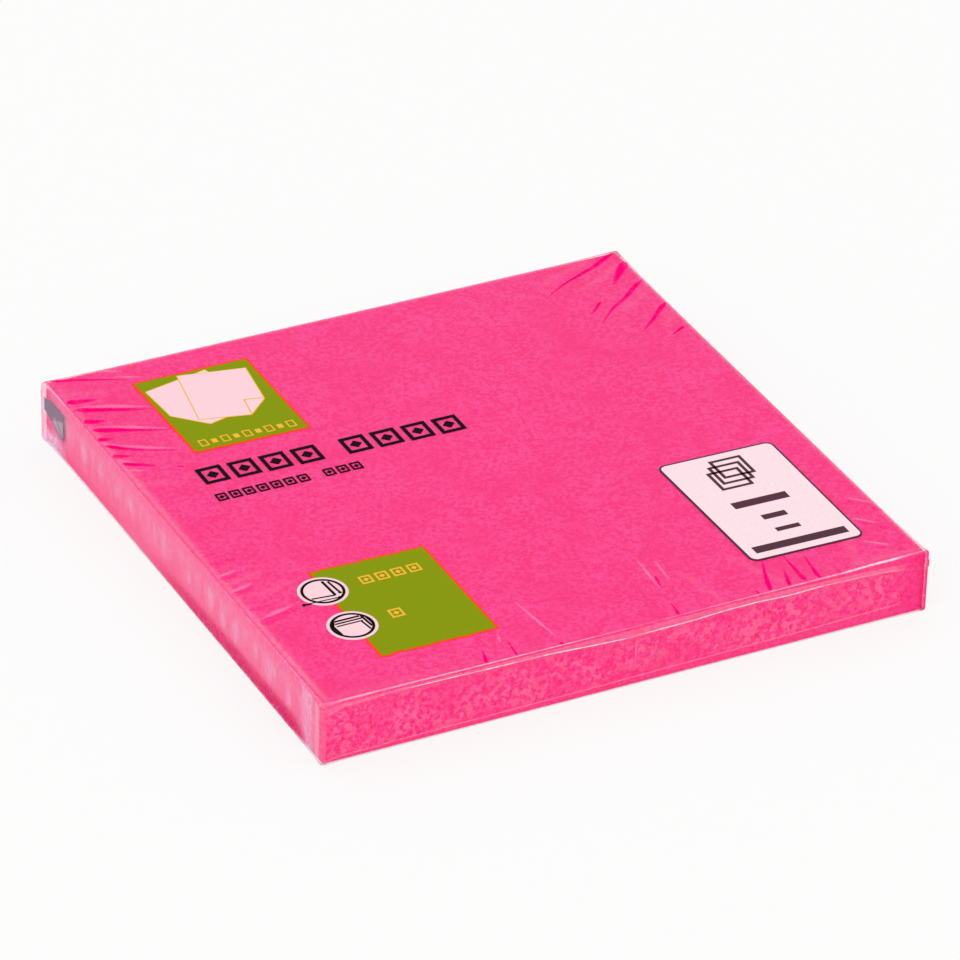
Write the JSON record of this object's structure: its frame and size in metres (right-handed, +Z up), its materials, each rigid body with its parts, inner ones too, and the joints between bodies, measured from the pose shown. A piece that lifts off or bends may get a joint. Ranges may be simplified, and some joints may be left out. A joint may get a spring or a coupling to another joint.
{
  "type": "sticky note pad",
  "caption": "Square pad of fluorescent pink sticky notes, sealed in tight clear printed shrink film, lying flat.",
  "frame": {"origin": "on the surface that the pad rests on, under the middle of the notes", "axes": "+X to the right along the front side, +Y towards the back, +Z up through the stack of notes"},
  "size_m": [0.0776, 0.0768, 0.0079],
  "materials": {
    "pink_paper": "uncoated, fluorescent pink",
    "backing_paper": "release coated, plain",
    "clear_film": "clear gloss shrink film with printed panels"
  },
  "bodies": {
    "root": {"note_block": "pink_paper", "backing_sheet": "backing_paper", "wrap_film": "clear_film"}
  },
  "joints": []
}
